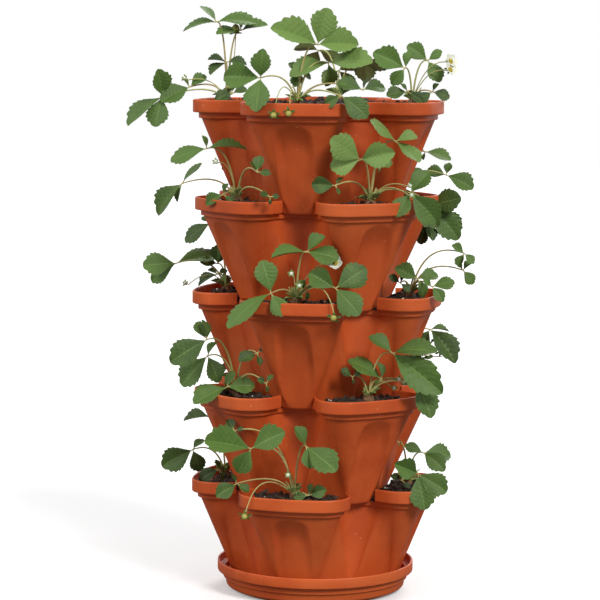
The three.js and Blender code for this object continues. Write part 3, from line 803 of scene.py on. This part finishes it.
def camera_axes():
    """The camera's own directions: right and above in its picture, and ahead."""
    heading, pitch, roll = (math.radians(x) for x in CAMERA_ANGLES)
    level = np.array([math.cos(heading), -math.sin(heading), 0])
    ahead = np.array([math.sin(heading) * math.cos(pitch), math.cos(heading) * math.cos(pitch),
                      -math.sin(pitch)])
    upright = np.cross(level, ahead)
    right = math.cos(roll) * level + math.sin(roll) * upright
    above = -math.sin(roll) * level + math.cos(roll) * upright
    return right, above, ahead


def seen_place(part, x, y, kept, value, pocket):
    """Where the line of sight through a place in an enlarged part, camera + depth (ahead + (across right
    + up above) / focal length), lies at the given distance beside or out of the crown: beside, out and
    up from the rim over the crown in whole mm, and the depth."""
    right, above, ahead = camera_axes()
    left, top, scale = ENLARGED[part]
    across, up = left + x / scale - PICTURE / 2, PICTURE / 2 - top - y / scale
    line = ahead + (across * right + up * above) / FOCAL
    sideways, outward = pocket[:2]
    origin = placed(pocket, 0, 0, 0)
    flat = sideways if kept == "beside" else outward
    depth = (value + (origin - CAMERA_AT) @ flat) / (line @ flat)
    place = CAMERA_AT + depth * line - origin
    return (round(place @ sideways), round(place @ outward), round(place[2])), depth


def seen_leaf(part, kept, reading, pocket):
    """A leaf as put_leaf takes it, from a reading. A leaflet's length is its drawn length, times depth
    over focal length, divided by the cosine of its lean."""
    x, y, value, tint, *tips = reading
    place, depth = seen_place(part, x, y, kept, value, pocket)
    leaflets = []
    for tip_x, tip_y, turn, lean in tips:
        drawn = math.hypot(tip_x - x, tip_y - y) / ENLARGED[part][2]
        length = drawn * depth / FOCAL / max(0.6, math.cos(math.radians(lean)))
        angle = math.degrees(math.atan2(y - tip_y, tip_x - x))
        leaflets.append((round(angle), round(length), turn, lean))
    return place, tint, leaflets


def hidden_leaf(side, out, up, length, bearing, tilt, roll, tint, view):
    """A leaf as put_leaf takes it, from the way its middle leaflet lies: the others lie 84 degrees to
    each side of it in the leaf's own plane, and are a little shorter."""
    beside, near = view
    bearing, tilt, roll = (math.radians(x) for x in (bearing, tilt, roll))
    across, away = directions(bearing)
    normal = upward(math.cos(tilt)) + math.sin(tilt) * away
    down = math.cos(tilt) * away - upward(math.sin(tilt))
    middle = math.cos(roll) * down + math.sin(roll) * across
    leaflets = []
    for spread, size in ((0, 1), (-84, 0.92), (84, 0.92)):
        a = math.radians(spread)
        along = unit(math.cos(a) * middle + math.sin(a) * np.cross(normal, middle))
        face = unit(near - (near @ along) * along)
        found = (math.atan2(along[2], along @ beside), math.acos(np.clip(normal @ face, -1, 1)),
                 math.asin(along @ near))
        angle, turn, lean = (round(math.degrees(x)) for x in found)
        leaflets.append((angle, round(length * size), turn, lean))
    return (side, out, up), tint, leaflets


def leaflet(length, rng):
    """A closed, toothed leaflet along +x, widest beyond its middle: half-width 0.35 L sin(pi u^1.4)^0.85,
    with forward teeth added along the margin. Its section is a thin lens, folded up along the midrib,
    puffed up between the side veins, and the tip droops with the square of u."""
    rows, across = 41, 9
    u = np.linspace(0, 1, rows)[:, None]
    v = np.concatenate([np.linspace(-1, 1, across), np.linspace(1, -1, across)[1:-1]])[None]
    under = np.concatenate([np.zeros(across), np.ones(across - 2)])[None]
    width = 0.35 * np.sin(np.pi * u ** 1.4) ** 0.85
    phase = (u * TEETH) % 1
    tooth = np.where(u > 0.2, np.minimum(phase / 0.72, (1 - phase) / 0.28), 0) * np.sin(np.pi * u) ** 0.3
    edge = np.abs(v) ** 4
    x = u + 0.045 * tooth * edge
    y = v * (width + 0.055 * tooth * (width > 0.02))
    lens = np.clip(1 - v * v, 0, 1) ** 0.5 * np.sin(np.pi * np.clip(u, 0, 1)) ** 0.5
    fold, droop, cup, skew = rng.uniform((0.15, 0.04, -0.2, -0.1), (0.7, 0.32, 0.6, 0.1))
    vein = np.abs(np.sin(np.pi * TEETH * (u - VEIN_SLANT * np.abs(v)) + VEIN_SHIFT)) * (1 - np.abs(v) ** 8)
    z = fold * np.abs(y) - cup * y * y - droop * u * u + 0.011 * vein * np.sin(np.pi * u) + skew * y * u
    z = z + np.where(under > 0, -1, 1) * lens * 0.5 / length
    grid = np.stack([x + 0 * y, y, z], -1) * length
    marks = np.stack([u + 0 * v, v + 0 * u, under + 0 * u], -1)
    return grid, marks


def tube(path, radius, sides=7):
    """A round stalk along a path: rings of the given radius square to the path's direction."""
    along = np.gradient(path, axis=0)
    along /= np.linalg.norm(along, axis=1)[:, None]
    hint = np.array([0.31, 0.87, 0.12])
    across = np.cross(along, hint)
    across /= np.linalg.norm(across, axis=1)[:, None]
    third = np.cross(along, across)
    a = np.linspace(0, 2 * np.pi, sides, endpoint=False)[None, :, None]
    radius = np.broadcast_to(radius, len(path))[:, None, None]
    return path[:, None] + radius * (np.cos(a) * across[:, None] + np.sin(a) * third[:, None])


def bend(start, middle, end, steps=20):
    """A curve that leaves its start towards the middle point and arrives at its end from it:
    (1-t)² start + 2t(1-t) middle + t² end."""
    t = np.linspace(0, 1, steps)[:, None]
    return (1 - t) ** 2 * start + 2 * t * (1 - t) * middle + t * t * end


def blob(centre, axis, profile, sides=14, ribs=0, depth=0):
    """A body turned about any axis: rings of the profile's radius at its heights along the axis, with
    ribs round it if asked for."""
    axis = unit(axis)
    across = unit(np.cross(axis, [0.3, 0.9, 0.2]))
    third = np.cross(axis, across)
    a = np.linspace(0, 2 * np.pi, sides, endpoint=False)[None, :, None]
    r, h = (np.asarray(profile, float)[:, i][:, None, None] for i in (0, 1))
    r = r * (1 + depth * np.cos(ribs * a))
    return centre + h * axis + r * (np.cos(a) * across + np.sin(a) * third)


class Plant:
    """Gathers the closed bodies of one plant, each with its material and its marks."""

    def __init__(self):
        self.points, self.triangles, self.marks, self.tints, self.kinds = [], [], [], [], []
        self.count = 0

    def put(self, grid, kind, tint=0.5, marks=None):
        points, triangles = closed_body(grid)
        if marks is None:
            marks = np.zeros(grid.shape)
        marks = np.concatenate([marks.reshape(-1, 3), marks[:1].mean(1), marks[-1:].mean(1)])
        self.points.append(points)
        self.triangles.append(triangles + self.count)
        self.marks.append(marks)
        self.tints.append(np.full(len(points), tint))
        self.kinds.append(np.full(len(triangles), kind))
        self.count += len(points)

    def mesh(self, name):
        mesh = mesh_of(name, np.concatenate(self.points), np.concatenate(self.triangles), angle=60)
        marks = mesh.attributes.new("leaf_marks", "FLOAT_VECTOR", "POINT")
        marks.data.foreach_set("vector", np.concatenate(self.marks).astype(np.float32).ravel())
        # per-point tint; on the leaves in view it also carries painted light and shade
        tint = mesh.attributes.new("tint_and_painted_light", "FLOAT", "POINT")
        tint.data.foreach_set("value", np.concatenate(self.tints).astype(np.float32))
        mesh.polygons.foreach_set("material_index", np.concatenate(self.kinds).astype(np.int32))
        return mesh


def put_leaf(plant, crown, joint, leaflets, tint, view, rng):
    """One leaf: three leaflets round the joint, and the stalk that arches up from the crown to it. A
    leaflet points along cos(lean) (cos(angle) beside + sin(angle) up) + sin(lean) near, and its face
    is turned by its turn from the onlooker to the sky. Its lean is loosened at random with the seen
    length kept, and a long one is narrower for its length."""
    beside, near = view
    for angle, length, turn, seen_lean in leaflets:
        loose = LOOSE_LEAN if abs(seen_lean) < LOOSE_LEAN else 0
        lean = seen_lean + rng.uniform(-loose, loose)
        length *= math.cos(math.radians(seen_lean)) / math.cos(math.radians(lean))
        angle, turn, lean = (math.radians(x + rng.uniform(-3, 3)) for x in (angle, turn, lean))
        along = math.cos(lean) * (math.cos(angle) * beside + upward(math.sin(angle)))
        along = unit(along + math.sin(lean) * near)
        facing = unit(near - (near @ along) * along)
        skyward = np.cross(along, facing)
        skyward = skyward if skyward[2] > 0 else -skyward
        normal = math.cos(turn) * facing + math.sin(turn) * skyward
        grid, marks = leaflet(length, rng)
        narrow = min(1, FULL_LENGTH / length) ** 0.6
        turned_grid = grid @ np.stack([along, narrow * np.cross(normal, along), normal])
        plant.put(joint + 1.2 * along + turned_grid, LEAF, tint + rng.uniform(-0.08, 0.08), marks)
        plant.put(tube(np.stack([joint, joint + 1.6 * along, joint + 4.5 * along]), 0.7, 6), STALK, 0.6)
    flat = math.hypot(*(joint - crown)[:2])
    start = crown + upward(CROWN_HEIGHT - 3) + unit(joint - crown) * 2
    over = start + 0.22 * (joint - start)
    over[2] = max(start[2], joint[2]) + 0.25 * flat
    plant.put(tube(bend(start, over, joint), np.linspace(1.3, 0.8, 20)), STALK, rng.uniform(0.3, 0.9))


def put_shoots(plant, crown, outward, rng):
    """The crown's own tuft: short pale leaf bases splayed round it and a few young leaflets, still
    folded, that stand up among them."""
    top = crown + upward(CROWN_HEIGHT - 4)
    for i in range(10):
        a = 2 * np.pi * (i + rng.uniform(-0.3, 0.3)) / 10
        aim = np.array([math.cos(a), math.sin(a), 0]) + 0.3 * outward
        end = top + rng.uniform(5, 12) * aim + upward(rng.uniform(4, 19))
        over = top + 3 * aim + upward(8)
        plant.put(tube(bend(top, over, end, 8), np.linspace(2.2, 0.5, 8)), STALK, rng.uniform(0.7, 1))
    for i in range(7):
        a = 2 * np.pi * (i + rng.uniform(-0.3, 0.3)) / 7
        aim = np.array([math.cos(a), math.sin(a), 0]) + 0.4 * outward
        along = unit(0.7 * aim + upward(rng.uniform(0.4, 1.3)))
        across = unit(np.cross(along, aim + np.array([0.1, 0.2, 0])))
        grid, marks = leaflet(rng.uniform(9, 17), rng)
        folded = grid * np.array([1, 0.7, 1.6])
        plant.put(top + 5 * along + folded @ np.stack([along, across, np.cross(along, across)]), LEAF,
                  rng.uniform(0.7, 1), marks)


def put_bloom(plant, crown, kind, place, outward, near, rng):
    """A flower, a bud, a young fruit that hangs in its star of sepals, or a berry that stands on it. A
    petal is a cupped round sheet, and bud, fruit and berry are turned bodies."""
    if kind == "calyx":
        axis = unit(upward(-0.7) + outward)
    elif kind == "berry":
        axis = upward(1.0)
    else:
        axis = unit(outward + near + upward(0.9))
    start = crown + upward(CROWN_HEIGHT - 3)
    over = start + 0.35 * (place - start)
    over[2] = max(start[2] + 26, place[2]) + 6
    if kind == "berry":
        over = place - upward(30)
    if kind == "calyx":
        over = start + 0.75 * (place - start)
        over[2] = start[2] + 44
    plant.put(tube(bend(start, over, place - axis * 1.5), 0.65, 6), STALK, 0.75)
    across = unit(np.cross(axis, [0.2, 0.4, 0.9]))
    third = np.cross(axis, across)
    reach, lean = SEPALS[kind]
    for i in range(5):
        a = 2 * np.pi * i / 5 + rng.uniform(-0.15, 0.15)
        along = math.cos(a) * across + math.sin(a) * third
        wide = -math.sin(a) * across + math.cos(a) * third
        sepal, marks = leaflet(reach * rng.uniform(0.85, 1.1), rng)
        direction = unit(along + lean * axis)
        spread = np.stack([direction, 0.6 * wide, unit(np.cross(direction, wide))])
        plant.put(place + sepal @ spread, LEAF, 0.85, marks)
        if kind == "flower":
            u = np.linspace(0, 1, 12)[:, None]
            v = np.concatenate([np.linspace(-1, 1, 7), np.linspace(1, -1, 7)[1:-1]])[None]
            side = np.concatenate([np.ones(7), -np.ones(5)])[None]
            w = 4.8 * np.sin(np.pi * u ** 0.8) ** 0.6 * v
            x = 9 * u + 0 * v
            z = 5 * u * u + 0.035 * w * w + 0.15 * side * np.sin(np.pi * u) + 0.8
            b = a + np.pi / 5
            along2 = math.cos(b) * across + math.sin(b) * third
            wide2 = -math.sin(b) * across + math.cos(b) * third
            plant.put(place + x[..., None] * along2 + w[..., None] * wide2 + z[..., None] * axis, PETAL)
    profile, sides, ribs, depth, part, tint = HEARTS[kind]
    plant.put(blob(place, axis, profile, sides, ribs, depth), part, tint)


def plant_material(name, build):
    """A named plant finish: build fills the shader from the piece's places, marks and tint."""
    material, tree, shader = new_material(name)
    marks = add(tree, "ShaderNodeAttribute", attribute_name="leaf_marks").outputs["Vector"]
    tint = add(tree, "ShaderNodeAttribute", attribute_name="tint_and_painted_light").outputs["Fac"]
    build(tree, shader, add(tree, "ShaderNodeTexCoord").outputs["Object"], marks, tint)
    return material


def leaf_green(tree, shader, place, marks, tint):
    """Dark to light green by the leaf's tint, which on the leaves in view is partly painted shade and
    painted light, with paler veins slanting forward from the midrib, a paler underside, and puffed fields
    between the veins."""
    split = add(tree, "ShaderNodeSeparateXYZ", {"Vector": marks})
    u, v, under = (split.outputs[i] for i in range(3))
    off = reckoned(tree, "ABSOLUTE", v)
    back = reckoned(tree, "MULTIPLY_ADD", off, -VEIN_SLANT, u)
    wave = reckoned(tree, "MULTIPLY_ADD", back, TEETH * math.pi, VEIN_SHIFT)
    sine = reckoned(tree, "SINE", wave)
    field = reckoned(tree, "ABSOLUTE", sine)
    side_vein = ramp(tree, field, 0.22, 0.02, 0, 0.18)
    midrib = ramp(tree, off, 0.05, 0.015, 0, 0.45)
    vein = reckoned(tree, "MAXIMUM", side_vein, midrib)
    # the tint's darker greens are partly painted shade on leaves that lie in shade, and its lighter greens
    # are partly painted light on lit leaves
    tone = layered(tree, colour(42, 60, 26), (tint, 0, 0.6, 1, colour(84, 113, 50)),
                   (tint, 0.55, 1, 1, colour(126, 154, 82)),
                   (noise(tree, place, 90, 4), 0.42, 0.75, 0.3, colour(102, 128, 56)))
    tone = mixed(tree, vein, tone, colour(136, 160, 88))
    pale = reckoned(tree, "MULTIPLY", under, 0.7)
    tone = mixed(tree, pale, tone, colour(146, 164, 106))
    shader.inputs["Specular IOR Level"].default_value = 0.3
    dress(tree, shader, tone, 0.55, bumped(tree, field, 0.14, 0.001))


def stalk_green(tree, shader, place, marks, tint):
    """Light green, reddening on some stalks, with a fine lengthwise mottle."""
    tone = layered(tree, mixed(tree, tint, colour(176, 138, 92), colour(178, 186, 112)),
                   (noise(tree, place, 160, 3), 0.4, 0.8, 0.5, colour(200, 198, 134)))
    dress(tree, shader, tone, 0.55)


def petal_white(tree, shader, place, marks, tint):
    """White with a faint cloud of cream."""
    tone = mixed(tree, noise(tree, place, 300, 2), colour(246, 246, 238), colour(222, 226, 200))
    dress(tree, shader, tone, 0.6)


def flower_eye(tree, shader, place, marks, tint):
    """Yellow grains round a green middle."""
    grains = add(tree, "ShaderNodeTexVoronoi", {"Vector": place, "Scale": 1500}).outputs["Distance"]
    tone = layered(tree, colour(226, 190, 60), (grains, 0.2, 0.6, 1, colour(150, 140, 40)))
    dress(tree, shader, tone, 0.7)


def young_fruit(tree, shader, place, marks, tint):
    """Pale green, flushing red with the tint, and pitted with seeds."""
    cells = add(tree, "ShaderNodeTexVoronoi", {"Vector": place, "Scale": 620, "Randomness": 0.35})
    seeds = cells.outputs["Distance"]
    tone = layered(tree, mixed(tree, tint, colour(164, 168, 78), colour(196, 110, 62)),
                   (seeds, 0.28, 0.12, 1, colour(214, 182, 92)))
    dress(tree, shader, tone, 0.35, bumped(tree, seeds, 0.6, 0.001))


def crown_brown(tree, shader, place, marks, tint):
    """Brown, fibrous scales."""
    stretch = add(tree, "ShaderNodeMapping", {"Vector": place, "Scale": (900, 900, 90)})
    fibre = noise(tree, stretch.outputs["Vector"], 1, 3)
    tone = mixed(tree, fibre, colour(74, 48, 30), colour(150, 112, 72))
    dress(tree, shader, tone, 0.8, bumped(tree, fibre, 0.6, 0.001))


plant_materials = [plant_material(name, build) for name, build in (
    ("strawberry_leaf", leaf_green), ("leaf_stalk", stalk_green), ("petal", petal_white),
    ("flower_eye", flower_eye), ("young_fruit", young_fruit), ("crown_scales", crown_brown))]
pockets = [(tier, quarter) for tier in range(1, TIERS + 1) for quarter in range(4)]
for index, (tier, quarter) in enumerate(pockets):
    key = f"{tier}_{POCKETS[tier % 2][quarter]}"
    sideways, outward = directions(math.radians(90 * quarter + tier_turn(tier)))
    pocket = (sideways, outward, pot_level[tier] + POT_HEIGHT)
    if key in HIDDEN_LEAVES:
        view = (sideways, outward)
        leaves = [hidden_leaf(*row, view) for row in HIDDEN_LEAVES[key]]
    else:
        view = directions(math.radians(SEEN_FROM))
        leaves = [seen_leaf(part, kept, row, pocket) for part, kept, rows in SEEN_LEAVES[key]
                  for row in rows]
    rng = np.random.default_rng(700 + index)
    crown = CROWN_REACH * outward + upward(pot_level[tier] + CROWN_LEVEL)
    plant = Plant()
    plant.put(blob(crown, upward(1.0), CROWN_PROFILE, 30, 5, 0.12), CROWN)
    for place, tint, leaflets in leaves:
        put_leaf(plant, crown, placed(pocket, *place), leaflets, tint, view, rng)
    put_shoots(plant, crown, outward, rng)
    for kind, *row in BLOOMS.get(key, []):
        place = row if len(row) == 3 else seen_place(*row, pocket)[0]
        put_bloom(plant, crown, kind, placed(pocket, *place), outward, view[1], rng)
    stand(plant.mesh(f"plant_{key}"), f"tier_{tier}", plant_materials,
          [f"strawberry_{key}"])


# Camera, floor and light: a plain pale studio, lit by its pale surround and by three soft lamps, the
# strongest from the front right, a weaker one from the front left and one from behind.

scene = bpy.context.scene
camera_data = bpy.data.cameras.new("camera")
camera_data.sensor_width = 36
camera_data.lens = FOCAL / PICTURE * camera_data.sensor_width
camera_data.clip_end = 50
camera = bpy.data.objects.new("camera", camera_data)
right, above, ahead = camera_axes()
axes = zip(right, above, -ahead, CAMERA_AT / 1000)
camera.matrix_world = Matrix([*axes, (0, 0, 0, 1)])
scene.collection.objects.link(camera)
scene.camera = camera

floor_mesh = bpy.data.meshes.new("floor")
floor_mesh.from_pydata([(-9, -9, 0), (9, -9, 0), (9, 9, 0), (-9, 9, 0)], [], [(0, 1, 2, 3)])
floor = bpy.data.objects.new("floor", floor_mesh)
scene.collection.objects.link(floor)
floor_material, tree, shader = new_material("floor")
shader.inputs["Roughness"].default_value = 0.9
path = add(tree, "ShaderNodeLightPath")
pale = mixed(tree, path.outputs["Is Camera Ray"], (0.14, 0.14, 0.14, 1), (0.86, 0.86, 0.86, 1))
tree.links.new(pale, shader.inputs["Base Color"])
glow = reckoned(tree, "MULTIPLY", path.outputs["Is Camera Ray"], 0.22)
shader.inputs["Emission Color"].default_value = (1, 1, 1, 1)
tree.links.new(glow, shader.inputs["Emission Strength"])
floor_mesh.materials.append(floor_material)

world = bpy.data.worlds.new("studio")
world.use_nodes = True
scene.world = world
tree = world.node_tree
for old in list(tree.nodes):
    tree.nodes.remove(old)
path = add(tree, "ShaderNodeLightPath")
seen = reckoned(tree, "MAXIMUM", path.outputs["Is Camera Ray"], path.outputs["Is Glossy Ray"])
seen = reckoned(tree, "MAXIMUM", seen, path.outputs["Is Transmission Ray"])
level_of = add(tree, "ShaderNodeMapRange", {"Value": seen, "To Min": 0.4, "To Max": 1.0})
sky = add(tree, "ShaderNodeBackground", {"Color": (1, 1, 1, 1), "Strength": level_of.outputs["Result"]})
add(tree, "ShaderNodeOutputWorld", {"Surface": sky.outputs["Background"]})


def sun(name, bearing, height, strength, softness):
    """A far lamp shining from a bearing and a height above the horizon."""
    lamp = bpy.data.lights.new(name, "SUN")
    lamp.energy, lamp.angle = strength, math.radians(softness)
    made = bpy.data.objects.new(name, lamp)
    made.rotation_euler = (math.radians(90 - height), 0, math.radians(bearing))
    scene.collection.objects.link(made)


sun("key", 46, 37, 2.1, 18)
sun("fill", -48, 34, 1.2, 26)
sun("back", 170, 35, 1.1, 30)
scene.view_settings.view_transform = "Standard"
